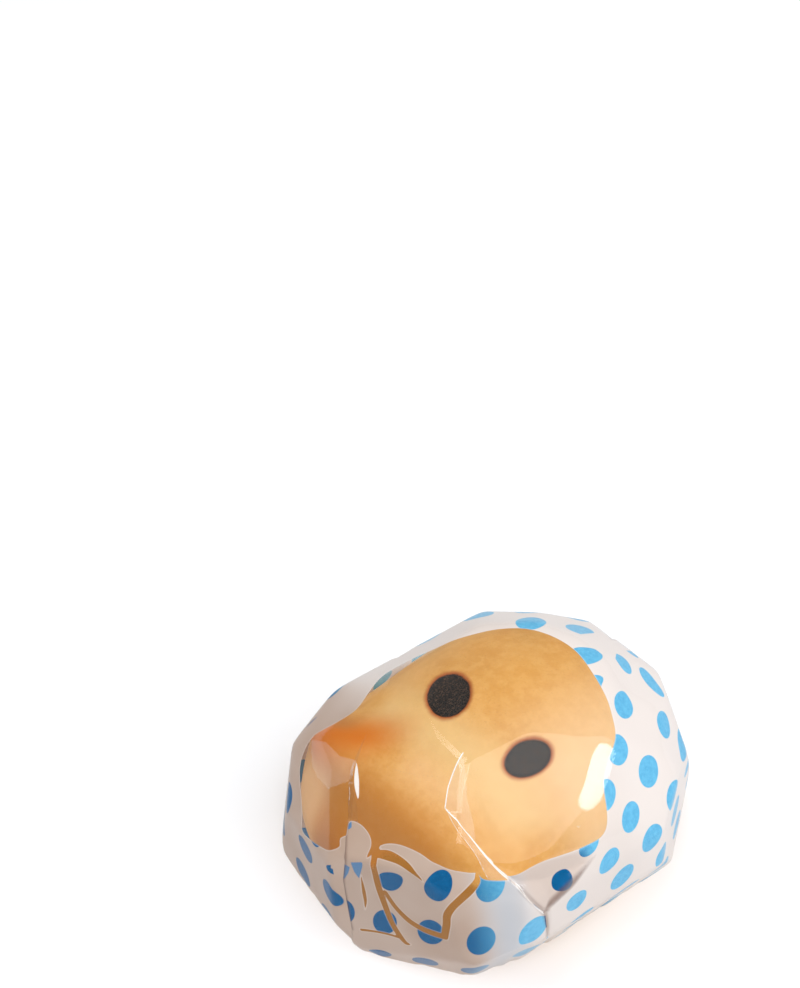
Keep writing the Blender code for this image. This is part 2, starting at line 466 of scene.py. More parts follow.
# A panel runs from each pleat to the next. Its columns, and the rings that all panels
# share above the wall, down it and underneath, make the film's grid.
PANEL_ORDER = list(PLEATS)
PANEL_COLUMNS = [150, 120, 70, 80]
TOP_RINGS = 50
WALL_RINGS = 130
UNDER_RINGS = 34
TOP_HEIGHT = 48.0


def along_pleat(points, heights):
    """A pleat's value at the given heights, from its (height, value) points."""
    known, values = zip(*points)
    return np.interp(heights, known, values)


def facet_normals():
    """Outward unit normals of the film's facets."""
    angles = np.radians([facet[:2] for facet in FILM_FACETS])
    flat = np.cos(angles[:, 1])
    return np.stack(
        [np.cos(angles[:, 0]) * flat, np.sin(angles[:, 0]) * flat, np.sin(angles[:, 1])],
        axis=1,
    )


def ray_directions(bearings, heights):
    """Unit vectors from the core at the given bearings and heights in degrees."""
    turn, lift = np.radians(bearings), np.radians(heights)
    flat = np.cos(lift)
    return np.stack([np.cos(turn) * flat, np.sin(turn) * flat, np.sin(lift)], axis=1)


def taut_reach(directions):
    """How far the taut film is from the core: its nearest facet, softly creased."""
    normals = facet_normals()
    slack = np.array([facet[2] for facet in FILM_FACETS]) * 0.001
    room = (bun_surface @ normals.T).max(axis=0) + BASE_HEIGHT + slack - normals @ CORE
    facing = directions @ normals.T
    reach = np.where(facing > 0.02, room / np.maximum(facing, 0.02), 1.0)
    nearest = reach.min(axis=1)
    crowd = np.exp((nearest[:, None] - reach) / CREASE_SOFTNESS).sum(axis=1)
    return nearest - CREASE_SOFTNESS * np.log(crowd)


def floor_reach(directions):
    """How far down the film may go before it meets the surface it stands on."""
    return CORE[2] / np.maximum(-directions[:, 2], 1e-6)


def hem_height(bearings):
    """Height in degrees of the edge where the film turns under at each bearing."""
    known = np.arange(-180.0, 181.0)
    low, high = np.full(len(known), -80.0), np.full(len(known), 0.0)
    for _ in range(18):
        middle = 0.5 * (low + high)
        directions = ray_directions(known, middle)
        on_base = taut_reach(directions) > floor_reach(directions)
        low = np.where(on_base, middle, low)
        high = np.where(on_base, high, middle)
    return np.interp(bearings, known, 0.5 * (low + high), period=360.0)


def pleat_line(order, line, heights):
    """Bearing of a pleat's edge or far line, counted on past a full turn."""
    turns, order = divmod(order, len(PANEL_ORDER))
    return along_pleat(PLEATS[PANEL_ORDER[order]][line], heights) + 360.0 * turns


class FilmGrid:
    """The film as a grid: columns in four panels between its pleats, rings from the top down."""

    def __init__(self):
        starts = np.cumsum([0] + [count + 1 for count in PANEL_COLUMNS])
        self.columns = int(starts[-1])
        self.rings = TOP_RINGS + WALL_RINGS + UNDER_RINGS
        shape = self.new_shape()
        places = np.array([vertex.co for vertex in shape.verts])
        shape.free()
        self.column = np.rint((places[:, 0] + 1.0) * 0.5 * self.columns).astype(int) % self.columns
        self.ring = np.rint((1.0 - places[:, 1]) * 0.5 * self.rings)
        self.panel = np.searchsorted(starts, self.column, side="right") - 1
        self.share = (self.column - starts[self.panel]) / np.array(PANEL_COLUMNS)[self.panel]
        self.set_angles()
        self.directions = ray_directions(self.bearings, self.heights)
        self.dough = np.linalg.norm(bun_points(self.directions) - CORE, axis=1)
        self.taut = taut_reach(self.directions)
        self.reach = self.pleated_reach()

    def new_shape(self):
        """A flat grid with a vertex for each column and ring."""
        shape = bmesh.new()
        bmesh.ops.create_grid(shape, x_segments=self.columns, y_segments=self.rings, size=1.0)
        return shape

    def set_angles(self):
        """Bearing and height of every vertex, with a ring along the hem."""
        wall_ring = self.ring - TOP_RINGS
        under_ring = wall_ring - WALL_RINGS
        top = 90.0 - (90.0 - TOP_HEIGHT) * self.ring / TOP_RINGS
        self.heights = np.minimum(top, TOP_HEIGHT)
        # The pleats bend the columns and the hem bends the rings, so both settle in turn.
        for _ in range(3):
            self.bearings = np.zeros(len(self.heights))
            for order in range(len(PANEL_ORDER)):
                first = pleat_line(order, "edge", self.heights)
                last = pleat_line(order + 1, "edge", self.heights)
                across = first + (last - first) * self.share
                self.bearings = np.where(self.panel == order, across, self.bearings)
            hem = hem_height(self.bearings)
            wall = TOP_HEIGHT + (hem - TOP_HEIGHT) * wall_ring / WALL_RINGS
            under = hem - (90.0 + hem) * under_ring / UNDER_RINGS
            self.heights = np.where(wall_ring < 0, top, np.where(under_ring < 0, wall, under))

    def pleated_reach(self):
        """The taut film with its pleats let in, clear of the dough and flat below."""
        reach = self.taut.copy()
        for order, name in enumerate(PANEL_ORDER):
            pleat = PLEATS[name]
            # Where the far line lies before the edge, the fold is in the panel before it.
            opens_before = pleat["far"][0][1] < pleat["edge"][0][1]
            if opens_before and order == 0:
                order = len(PANEL_ORDER)
            edge = pleat_line(order, "edge", self.heights)
            far = pleat_line(order, "far", self.heights)
            share = np.clip(1.0 - (self.bearings - edge) / (far - edge), 0.0, 1.0)
            depth = 0.001 * share * along_pleat(pleat["depth"], self.heights)
            here = self.panel == (order - 1 if opens_before else order)
            reach = reach - np.where(here, depth, 0.0)
        reach = np.maximum(reach, np.minimum(self.taut, self.dough + TUCK_CLEARANCE))
        reach = np.minimum(reach, floor_reach(self.directions))
        return np.maximum(reach - self.wrinkles(), np.minimum(reach, self.dough + WRINKLE_CLEARANCE))

    def wrinkles(self):
        """How far the gathering pulls the film in near its hem and underneath."""
        turn = np.radians(self.bearings)
        sway = 0.5 * np.sin(3.0 * turn + 1.0) + 0.3 * np.sin(np.radians(self.heights) * 7.0 + 2.0 * turn)
        deep = sum(
            np.maximum(np.sin(count * turn + start + sway), 0.0) ** 3
            for count, start in ((11, 0.4), (17, 2.1), (23, 4.0))
        )
        share = smooth_ramp(self.heights, WRINKLES_START, WRINKLES_FULL)
        return WRINKLE_DEPTH * deep * share

    def points(self, inset):
        """The grid's vertices, an inset closer to the core than the film."""
        return CORE + self.directions * (self.reach - inset)[:, None]


film_grid = FilmGrid()


# Edge of the clear window as bearing and height in degrees seen from the core. It
# runs round the face and then along the knot and the top of the scarf's tail.
WINDOW_EDGE = [
    (-140.0, 20.5), (-140.9, 29.0), (-143.5, 35.3), (-148.0, 37.5), (-158.0, 39.0),
    (-169.0, 41.0), (-178.0, 43.0), (170.0, 46.5), (158.0, 47.6), (142.4, 48.2),
    (118.0, 46.2), (93.9, 46.4), (72.0, 47.5), (51.7, 45.3), (37.2, 42.1),
    (24.1, 40.1), (14.5, 35.8), (3.9, 23.6), (-7.3, 23.3), (-25.9, 25.7), (-38.7, 23.7),
    (-47.5, 23.7), (-50.4, 25.7), (-53.5, 25.7), (-59.8, 26.2), (-65.0, 27.5),
    (-71.3, 28.2), (-78.7, 27.4), (-83.8, 25.6), (-86.6, 23.1), (-86.6, 21.5), (-87.6, 19.2),
    (-88.2, 20.2), (-88.9, 22.1), (-91.0, 23.6), (-94.5, 24.3), (-97.9, 24.1), (-100.6, 23.1),
    (-100.9, 21.9), (-99.3, 20.4), (-98.6, 19.3), (-101.0, 15.8), (-99.4, 14.0), (-101.4, 11.3),
    (-105.5, 8.6), (-112.0, 4.9), (-116.0, 3.3), (-119.6, 5.6), (-124.3, 7.5), (-134.4, 11.6),
]

# Painted glints along the creases, as bearing and height in degrees seen from the core
# and half width in millimetres: the dart, the pleat to its left, then fine ones.
CREASE_GLINTS = [
    [(-70.9, 64.0, 0.10), (-71.5, 58.6, 0.13), (-70.7, 51.1, 0.14), (-68.2, 44.1, 0.12)],
    [(-67.7, 43.5, 0.10), (-60.6, 41.5, 0.13), (-54.4, 37.2, 0.13), (-48.4, 32.0, 0.15),
     (-42.5, 26.3, 0.14), (-36.1, 20.2, 0.12), (-28.1, 7.3, 0.08)],
    [(-67.0, 43.2, 0.05), (-53.0, 33.6, 0.06), (-46.3, 23.7, 0.05)],
    [(-118.4, 33.6, 0.05), (-115.5, 32.8, 0.24), (-111.6, 31.4, 0.37), (-108.7, 30.2, 0.32),
     (-105.9, 29.0, 0.16), (-104.8, 28.4, 0.03)],
    [(-112.7, 29.0, 0.02), (-109.0, 27.6, 0.05), (-105.6, 25.3, 0.0)],
    [(-130.3, 16.7, 0.0), (-124.7, 17.8, 0.02), (-117.9, 20.8, 0.04), (-115.7, 24.7, 0.04),
     (-114.0, 29.5, 0.02)],
    [(-37.1, 24.1, 0.03), (-28.4, 28.6, 0.02), (-16.3, 33.0, 0.02), (-9.2, 37.1, 0.0)],
    [(-122.4, 35.8, 0.0), (-105.8, 42.8, 0.01), (-90.0, 49.0, 0.01), (-73.9, 54.2, 0.0)],
    [(-6.3, 35.2, 0.02), (-6.8, 30.8, 0.05), (-2.4, 31.1, 0.0)],
    [(-45.7, 30.7, 0.04), (-44.3, 29.5, 0.05)],
]

# Where a fold lays a second thickness of film over the first, painted with a faint sheen.
FOLD_SHEEN_LAYERS = [
    [(-70.9, 64.0), (-71.5, 58.6), (-70.7, 51.1), (-68.0, 43.8), (-60.6, 41.5), (-54.4, 37.2),
     (-51.7, 34.9), (-54.2, 42.1), (-58.7, 48.4), (-62.7, 56.3)],
    [(-67.0, 43.4), (-53.0, 33.8), (-46.3, 23.7), (-38.5, 22.8), (-42.5, 26.3), (-48.4, 32.0),
     (-54.4, 37.2), (-60.6, 41.5)],
    [(-138.4, 19.4), (-133.7, 25.5), (-125.3, 29.1), (-120.4, 33.1), (-116.4, 31.8),
     (-114.3, 29.2), (-116.1, 23.8), (-117.9, 20.8), (-124.7, 17.8), (-130.3, 16.7)],
]

# Distances to a line are measured up to this many millimetres.
FAR_FROM_LINE = 9.0


def drawn_line(corners, steps=6):
    """A smooth line through corners given in the columns of an array."""
    corners = np.array(corners)
    ends = np.concatenate([2 * corners[:1] - corners[1:2], corners, 2 * corners[-1:] - corners[-2:-1]])
    share = np.linspace(0.0, 1.0, steps, endpoint=False)[:, None]
    line = []
    for before, first, last, after in zip(ends, ends[1:], ends[2:], ends[3:]):
        bend = 2 * before - 5 * first + 4 * last - after
        twist = 3 * first - 3 * last + after - before
        line.append(first + 0.5 * share * (last - before + share * (bend + share * twist)))
    return np.concatenate(line + [corners[-1:]])


def on_film(bearings, heights):
    """Points of the taut film at the given bearings and heights."""
    directions = ray_directions(bearings, heights)
    reach = np.minimum(taut_reach(directions), floor_reach(directions))
    return CORE + directions * reach[:, None]


def stroke_distance(points, line):
    """Millimetres from points to the edge of a line of bearing, height and half width."""
    corners = on_film(line[:, 0], line[:, 1])
    nearest = np.full(len(points), FAR_FROM_LINE)
    for start, end, wide, wide_end in zip(corners, corners[1:], line[:, 2], line[1:, 2]):
        run = end - start
        share = np.clip((points - start) @ run / (run @ run), 0.0, 1.0)
        apart = 1000.0 * np.linalg.norm(points - start - share[:, None] * run, axis=1)
        nearest = np.minimum(nearest, apart - wide - (wide_end - wide) * share)
    return nearest


def nearest_stroke(points, lines):
    """The least distance to any of several smooth lines."""
    return np.min([stroke_distance(points, drawn_line(line)) for line in lines], axis=0)


def outline_of(corners, steps=6):
    """A closed line through corners, its bearings counted on past a turn, of no width."""
    corners = np.array(list(corners) + [corners[0]], dtype=float)
    corners[:, 0] = np.degrees(np.unwrap(np.radians(corners[:, 0])))
    line = drawn_line(corners, steps)
    return np.concatenate([line, np.zeros((len(line), 1))], axis=1)


def inside_of(bearings, heights, line):
    """Whether points lie inside a closed line, drawn flat as seen from overhead."""
    turn, out = np.radians(line[:, 0]), 90.0 - line[:, 1]
    corners = np.stack([np.cos(turn) * out, np.sin(turn) * out], axis=1)
    turn, out = np.radians(bearings), 90.0 - heights
    across, along = np.cos(turn) * out, np.sin(turn) * out
    inside = np.zeros(len(bearings), dtype=bool)
    for (left, low), (right, high) in zip(corners, corners[1:]):
        spans = (low > along) != (high > along)
        rise = high - low if high != low else 1.0
        inside ^= spans & (across < left + (right - left) * (along - low) / rise)
    return inside


def depth_inside(points, bearings, heights, corners, steps=6):
    """Millimetres from points to a closed outline: above 0 inside it, below 0 outside."""
    line = outline_of(corners, steps)
    from_line = stroke_distance(points, line)
    return np.where(inside_of(bearings, heights, line), from_line, -from_line)


def depth_in_any(points, bearings, heights, outlines):
    """The greatest depth inside any of several straight-sided outlines."""
    return np.max([depth_inside(points, bearings, heights, line, 1) for line in outlines], axis=0)


def store_amounts(shape, amounts):
    """Keeps named values of a shape's vertices."""
    for name, values in amounts.items():
        layer = shape.verts.layers.float.new(name)
        for vertex, value in zip(shape.verts, values.tolist()):
            vertex[layer] = value


def stored_amount(start, name):
    """A value that store_amounts kept, for a material to read."""
    return start.tone("ShaderNodeAttribute", "Fac", {"attribute_name": name})


def clear_film_material():
    """Clear film: light passes, it shines less over ink, its creases get painted glints, and a doubled
    fold a faint painted sheen.
    """
    material, start = new_material("clear_film")
    place = start.tone("ShaderNodeTexCoord", "Object")
    crease_glint = stored_amount(start, "crease_glint")
    folded = stored_amount(start, "folded")
    clear_part = stored_amount(start, "clear_part")
    recess = stored_amount(start, "recess")

    ripple = place.grain(0.006, 1.0) * 0.7 + place.grain(0.0016, 1.0) * 0.05
    bump = {"Strength": 0.5, "Distance": 0.0002, "Height": ripple}
    normal = start.tone("ShaderNodeBump", 0, None, bump)
    fresnel = start.tone("ShaderNodeFresnel", 0, None, {"IOR": 1.5, "Normal": normal})
    shine = (fresnel * (0.5 + 0.65 * clear_part.ramp(-0.1, 0.1))).least(1.0)
    shine = shine * (1.0 - 0.6 * recess.ramp(0.2, 1.0))
    # The blunt fold across the crown, left of the dart's top, hardly shines.
    across, along, _ = place.axes()
    crown_fold = bell(along, -0.0090, 0.0026) * across.ramp(0.0030, 0.0010)
    shine = shine * (1.0 - 0.8 * crown_fold)

    clear = start.tone("ShaderNodeBsdfTransparent", 0, None, {"Color": (0.985, 0.985, 0.985, 1.0)})
    gloss = start.tone("ShaderNodeBsdfAnisotropic", 0, None, {"Roughness": 0.06, "Normal": normal})
    glossy_film = start.tone("ShaderNodeMixShader", 0, None, {0: shine, 1: clear, 2: gloss})
    # Painted glints: the creases are mixed towards a pale matt white, and where a fold doubles the film
    # it gets a faint painted sheen.
    glint_and_sheen = (crease_glint.ramp(0.05, -0.09) * 0.85).most(folded.ramp(-0.05, 0.05) * 0.10)
    pale = start.tone("ShaderNodeBsdfDiffuse", 0, None, {"Color": (0.95, 0.93, 0.91, 1.0)})
    glinting_film = start.tone("ShaderNodeMixShader", 0, None, {0: glint_and_sheen, 1: glossy_film, 2: pale})
    finish_material(start, glinting_film)
    return material


def make_film():
    """The clear film all round, closed at its top and under the bun."""
    bearings, heights = film_grid.bearings, film_grid.heights
    taut = on_film(bearings, heights)
    shape = film_grid.new_shape()
    store_amounts(shape, {
        "crease_glint": nearest_stroke(taut, CREASE_GLINTS),
        "folded": depth_in_any(taut, bearings, heights, FOLD_SHEEN_LAYERS),
        "clear_part": depth_inside(taut, bearings, heights, WINDOW_EDGE),
        "recess": 1000.0 * (film_grid.taut - film_grid.reach),
    })
    for vertex, point in zip(shape.verts, film_grid.points(0.0)):
        vertex.co = point
    bmesh.ops.remove_doubles(shape, verts=shape.verts, dist=2e-6)
    bmesh.ops.recalc_face_normals(shape, faces=shape.faces)
    film = new_piece("wrapper_film", shape, clear_film_material())
    film.data.set_sharp_from_angle(angle=math.radians(SHARP_ANGLE))
    film.visible_shadow = False
    film.visible_diffuse = False
    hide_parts("wrapper")
    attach(film, "root")


make_film()


# The print is ink on the inner face of the film: white with blue dots, like a
# spotted scarf knotted under the chin, and left clear over the face. Its dots
# sit on the sheet's own square lattice, which turns and slips at each pleat.
DOT_PITCH = 0.0070
DOT_RADIUS = 0.00192
INK_INSET = 0.00005
CLEAR_MARGIN = 1.0

# The scarf's drawn lines are printed in the colour of the dough in shade, a painted shade, and left
# clear of ink close to the window: bearing and height in degrees, half width in millimetres.
STROKES = [
    [(-87.6, 25.5, 0.40), (-86.9, 22.0, 0.44), (-85.2, 20.0, 0.44), (-83.9, 16.2, 0.48),
     (-82.1, 9.6, 0.52), (-79.5, 2.4, 0.50), (-77.2, -3.5, 0.46), (-74.7, -7.6, 0.48),
     (-72.0, -10.5, 0.36), (-70.1, -10.3, 0.05)],
    [(-85.3, 21.7, 0.50), (-81.7, 23.0, 0.66), (-76.9, 23.7, 0.52), (-72.5, 23.4, 0.40),
     (-69.2, 22.0, 0.20), (-67.5, 20.7, 0.02)],
    [(-50.5, 25.5, 0.20), (-50.3, 23.1, 0.42), (-52.3, 19.9, 0.56), (-55.2, 16.4, 0.56),
     (-57.5, 13.2, 0.56), (-58.8, 9.6, 0.56), (-58.8, 5.5, 0.56), (-59.2, -0.3, 0.52)],
    [(-79.9, 9.0, 0.36), (-76.1, 4.0, 0.42), (-71.4, 0.4, 0.50), (-67.3, -0.8, 0.52),
     (-63.9, -0.9, 0.54), (-59.2, -0.3, 0.52)],
    [(-88.2, 11.9, 0.02), (-87.4, 7.9, 0.20), (-86.7, 4.3, 0.29), (-86.1, 0.8, 0.22),
     (-86.0, -3.1, 0.02)],
    [(-86.6, -12.6, 0.24), (-84.2, -11.7, 0.22), (-81.0, -10.7, 0.20), (-77.7, -9.9, 0.20),
     (-74.3, -9.4, 0.22)],
]

# Narrow painted shadows along the folds, given like the strokes.
FOLD_SHADOWS = [
    [(-100.9, 22.0, 0.0), (-98.5, 19.5, 0.03), (-95.3, 17.0, 0.04), (-93.4, 14.5, 0.05),
     (-93.4, 6.2, 0.06), (-91.9, -2.1, 0.05), (-90.4, -10.2, 0.05), (-89.4, -13.7, 0.0)],
    [(-36.1, 20.2, 0.0), (-31.0, 13.0, 0.04), (-28.1, 7.3, 0.10), (-26.8, 0.0, 0.06),
     (-26.5, -6.0, 0.0)],
    [(-3.5, 18.0, -0.30), (-10.3, 15.6, 0.05), (-16.3, 13.0, 0.30), (-21.5, 11.0, 0.30),
     (-25.5, 9.0, 0.20), (-27.8, 6.2, 0.0)],
]

# Where no dot falls: on the knot and the top of the tail, beside the dart's tuck, along
# the seams behind, where the dots of two panels would crowd, and in the strip beyond
# the window's far left. The knot has scraps of blue where the print shows past a fold.
PLAIN_PARTS = [
    [(-102.0, 15.0), (-99.6, 19.3), (-102.0, 21.5), (-101.5, 24.5), (-97.9, 25.5), (-92.0, 25.5),
     (-87.9, 22.1), (-87.4, 20.3), (-87.8, 17.0), (-88.6, 9.0), (-91.0, 4.5), (-96.0, 4.5),
     (-99.0, 10.0)],
    [(-86.8, 22.0), (-86.0, 25.0), (-80.0, 27.8), (-74.0, 28.4), (-74.0, 25.2), (-80.0, 24.6)],
    [(80.0, 38.5), (94.5, 40.0), (97.0, 36.0), (96.0, 19.5), (86.5, 19.0), (84.0, 30.0), (78.0, 36.0)],
    [(-34.8, 26.5), (-28.9, 28.8), (-17.1, 26.8), (-18.5, 20.6), (-27.9, 19.9), (-34.3, 22.7)],
    [(-27.6, 9.5), (-22.0, 9.0), (-20.0, 0.0), (-22.0, -12.0), (-26.2, -12.0), (-26.4, -4.0)],
    [(-39.5, 25.0), (-34.0, 24.0), (-31.0, 17.5), (-27.4, 9.0), (-27.9, 7.0), (-31.5, 13.0),
     (-35.5, 19.0), (-37.8, 22.0)],
    [(90.8, 51.0), (96.0, 51.0), (98.0, 41.0), (91.2, 41.0)],
    [(129.0, 50.0), (127.0, 33.0), (135.0, 34.0), (153.0, 33.0), (171.0, 29.0), (184.0, 25.0),
     (196.0, 23.0), (207.0, 21.0), (214.0, 15.0), (221.0, 9.0), (233.0, 4.0), (233.0, 9.0),
     (225.0, 13.0), (221.0, 23.0), (218.0, 36.0), (204.0, 42.0), (186.0, 48.0), (160.0, 53.0),
     (140.0, 53.0)],
]
SCRAPS = [
    [(-99.2, 20.8), (-100.5, 21.8), (-100.7, 23.2), (-98.8, 21.9)],
    [(-91.7, 15.2), (-88.1, 17.6), (-88.0, 15.8), (-88.7, 9.9), (-90.4, 12.0)],
    [(-94.2, 13.4), (-91.8, 13.0), (-92.1, 10.1), (-93.2, 6.3), (-94.3, 8.5)],
]

# Each panel's middle bearing, the steps of the dot lattice to a millimetre of film
# down and round it, and the step that its lattice starts from.
PANEL_PRINTS = [
    {"middle": -50.0, "down": (0.013, -0.110), "round": (0.149, -0.024), "start": (0.42, 2.85)},
    {"middle": 18.0, "down": (0.169, -0.032), "round": (0.051, 0.139), "start": (-1.32, 2.85)},
    {"middle": 130.0, "down": (0.010, 0.120), "round": (-0.141, 0.042), "start": (-0.72, 4.01)},
    {"middle": 222.0, "down": (0.140, 0.020), "round": (-0.022, 0.130), "start": (-4.93, -2.21)},
]
RIGHT_PANEL = 1

# Round a panel's middle the flat sheet follows the film's own slope, measured over a
# short span. Farther off it takes an even slope, which keeps the dots round there.
LOCAL_SPAN = 4.0
EVEN_SPAN = 18.0
FOLLOWS_WITHIN = 38.0
EVEN_BEYOND = 60.0

# Places where wrapping dragged the right panel's print: bearing and height in
# degrees, and the drag in lattice steps.
DRAGS = [
    (-20, 16, -0.13, -0.09), (-5, 23, -0.12, 0.01), (13, 34, 0.04, -0.01),
    (32, 40, 0.12, 0.14), (55, 40, 0.16, 0.13), (78, 31, -0.13, -0.21),
    (-15, 4, -0.28, -0.08), (0, 13, 0.09, -0.05), (16, 22, 0.15, 0.06),
    (34, 26, 0.06, 0.09), (55, 22, -0.33, -0.15), (6, 1, 0.08, -0.13),
    (18, 11, 0.30, 0.14), (34, 14, -0.03, 0.14), (84.5, 47, 0.33, 0.36),
    (77, 37, -0.13, -0.21),
]
DRAG_SPREAD = 9.0
DISTANT_DRAG = 0.01


def meridian_tables():
    """Length of film from its top and its radius there, by bearing and height."""
    bearings = np.arange(-180.0, 181.0, 2.0)
    heights = np.linspace(90.0, -90.0, 181)
    turn, lift = (grid.ravel() for grid in np.meshgrid(bearings, heights, indexing="ij"))
    directions = ray_directions(turn, lift)
    reach = np.minimum(taut_reach(directions), floor_reach(directions))
    points = (directions * reach[:, None]).reshape(len(bearings), len(heights), 3)
    steps = np.linalg.norm(np.diff(points, axis=1), axis=2)
    length = np.concatenate([np.zeros((len(bearings), 1)), np.cumsum(steps, axis=1)], axis=1)
    return length, np.hypot(points[:, :, 0], points[:, :, 1])


def from_table(table, bearings, heights):
    """Reads a table of every 2 degrees of bearing and 1 of height between its values."""
    across = ((bearings + 180.0) % 360.0) / 2.0
    down = np.clip(90.0 - heights, 0.0, 179.999)
    column, row = across.astype(int), down.astype(int)
    column = np.minimum(column, table.shape[0] - 2)
    side, drop = across - column, down - row
    top = table[column, row] * (1.0 - side) + table[column + 1, row] * side
    bottom = table[column, row + 1] * (1.0 - side) + table[column + 1, row + 1] * side
    return top * (1.0 - drop) + bottom * drop


LENGTHS, RADII = meridian_tables()


def film_slope(bearings, heights, above, below):
    """How fast the film's radius grows down its length, over a span of heights."""
    top, bottom = heights + above, heights - below
    length = from_table(LENGTHS, bearings, bottom) - from_table(LENGTHS, bearings, top)
    radius = from_table(RADII, bearings, bottom) - from_table(RADII, bearings, top)
    return radius / np.maximum(length, 1e-6)


def sheet_places(panel, bearings, heights):
    """Where points of a panel lie along and across the flat sheet, in metres."""
    length = from_table(LENGTHS, bearings, heights)
    radius = from_table(RADII, bearings, heights)
    slope = film_slope(bearings, heights, LOCAL_SPAN, 0.0)
    even_slope = film_slope(bearings, heights, EVEN_SPAN, EVEN_SPAN)
    off_middle = bearings - PANEL_PRINTS[panel]["middle"]
    near = smooth_ramp(np.abs(off_middle), EVEN_BEYOND, FOLLOWS_WITHIN)
    if panel == RIGHT_PANEL:
        # Low on its far side the film turns under sharply, so the even slope starts sooner.
        near *= 1.0 - smooth_ramp(heights, 12.0, 3.0) * smooth_ramp(off_middle, 16.0, 30.0)
    slope = even_slope + (slope - even_slope) * near
    off_middle = np.radians(off_middle)
    arc = radius * off_middle
    bend = slope * off_middle
    bend = np.where(np.abs(bend) < 1e-4, 1e-4, bend)
    return length - arc * (1.0 - np.cos(bend)) / bend, arc * np.sin(bend) / bend


def print_drag(bearings, heights):
    """How far wrapping dragged the print, in lattice steps: the pull of the nearest places."""
    drag = np.zeros((2, len(bearings)))
    total = np.full(len(bearings), 1e-6)
    for bearing, height, first, second in DRAGS:
        apart = np.hypot(bearings - bearing, heights - height) / DRAG_SPREAD
        weight = np.exp(-apart * apart) + DISTANT_DRAG / (1.0 + apart * apart) ** 2
        drag += weight * np.array([[first], [second]])
        total += weight
    return drag / total


def lattice_places(panel, bearings, heights):
    """The same points in steps of the dot lattice."""
    along, across = sheet_places(panel, bearings, heights)
    sheet = PANEL_PRINTS[panel]
    drag = print_drag(bearings, heights) if panel == RIGHT_PANEL else (0.0, 0.0)
    return [
        1000.0 * (along * sheet["down"][axis] + across * sheet["round"][axis])
        + sheet["start"][axis] + drag[axis]
        for axis in (0, 1)
    ]


def print_material():
    """Ink on film: a faintly clouded white with blue dots and drawn lines, cut out at the window, with
    painted light and shade.
    """
    material, start = new_material("film_print")
    place = start.tone("ShaderNodeTexCoord", "Object")
    mottle = place.grain(0.0007, 3.0, 0.7)
    cloud = place.grain(0.009, 2.0)
    lattice = start.tone("ShaderNodeUVMap", 0, {"uv_map": "lattice"})
    first, second, _ = lattice.axes()
    off_first = (first + 0.5).join("FRACT", first + 0.5) - 0.5
    off_second = (second + 0.5).join("FRACT", second + 0.5) - 0.5
    from_dot = hypotenuse(off_first, off_second) * DOT_PITCH * 1000.0
    edge = stored_amount(start, "edge")
    recess = stored_amount(start, "recess")
    stroke = stored_amount(start, "stroke")
    plain = stored_amount(start, "plain")
    scrap = stored_amount(start, "scrap")
    fold = stored_amount(start, "fold")

    across, along, _ = place.scaled(1000.0).axes()
    # Painted light and shade: the ink is coloured darker and warmer towards the chin and palest
    # behind the brow, and darker in the recess of the dart's tuck.
    facing = across * 0.25 + along * 0.97
    tuck = recess.ramp(0.0, 0.4) * across.ramp(6.0, 11.0)
    lit = facing.ramp(-16.5, -9.5)
    white = (lit * (1.0 - tuck * 0.5)).mix(colour(183, 158, 141), colour(221, 210, 203))
    white = facing.ramp(7.0, 13.0).mix(white, colour(226, 216, 210))
    # Painted reflection: a cool bluish sheen on the front right.
    cool_reflection = bell(facing, -11.0, 4.5) * across.ramp(10.0, 15.0)
    white = (cool_reflection * 0.8).mix(white, colour(184, 190, 198))
    white = (cloud.ramp(0.3, 0.7) * 0.15).mix(white, colour(236, 226, 218))
    blue = (lit * (1.0 - tuck)).mix(colour(0, 84, 132), colour(106, 186, 222))
    blue = (mottle.ramp(0.3, 0.7) * 0.3).mix(blue, colour(16, 118, 178))
    from_dot = from_dot - DOT_RADIUS * 1000.0 - 0.2 * facing.ramp(0.0, 8.0)
    dot = from_dot.ramp(0.06, -0.06)
    dot = dot * plain.ramp(0.05, -0.05)
    tone = dot.mix(white, blue)
    tone = scrap.ramp(-0.04, 0.04).mix(tone, colour(92, 132, 172))
    # Painted shadows along the folds.
    tone = (fold.ramp(0.50, -0.25) * 0.7).mix(tone, colour(104, 74, 64))
    # Painted highlight: a thin light line along the ink's edges at the window and at the drawn lines.
    edge_glint = edge.most(stroke * -1.0).ramp(-0.20, -0.08)
    tone = (edge_glint * 0.2).mix(tone, colour(250, 244, 238))
    # The drawn lines: painted shade, in the colour of the shaded dough behind the film.
    drawn = stroke.ramp(0.04, -0.04)
    tone = drawn.mix(tone, colour(162, 108, 46))
    clear = edge.ramp(-0.04, 0.04).most(drawn * edge.ramp(-2.2, -0.8))
    shader = start.tone("ShaderNodeBsdfPrincipled", 0, None, {
        "Base Color": tone,
        "Roughness": 0.45 + (mottle - 0.5) * 0.1,
        "Alpha": 1.0 - clear,
        "Specular IOR Level": 0.05,
    })
    finish_material(start, shader)
    return material


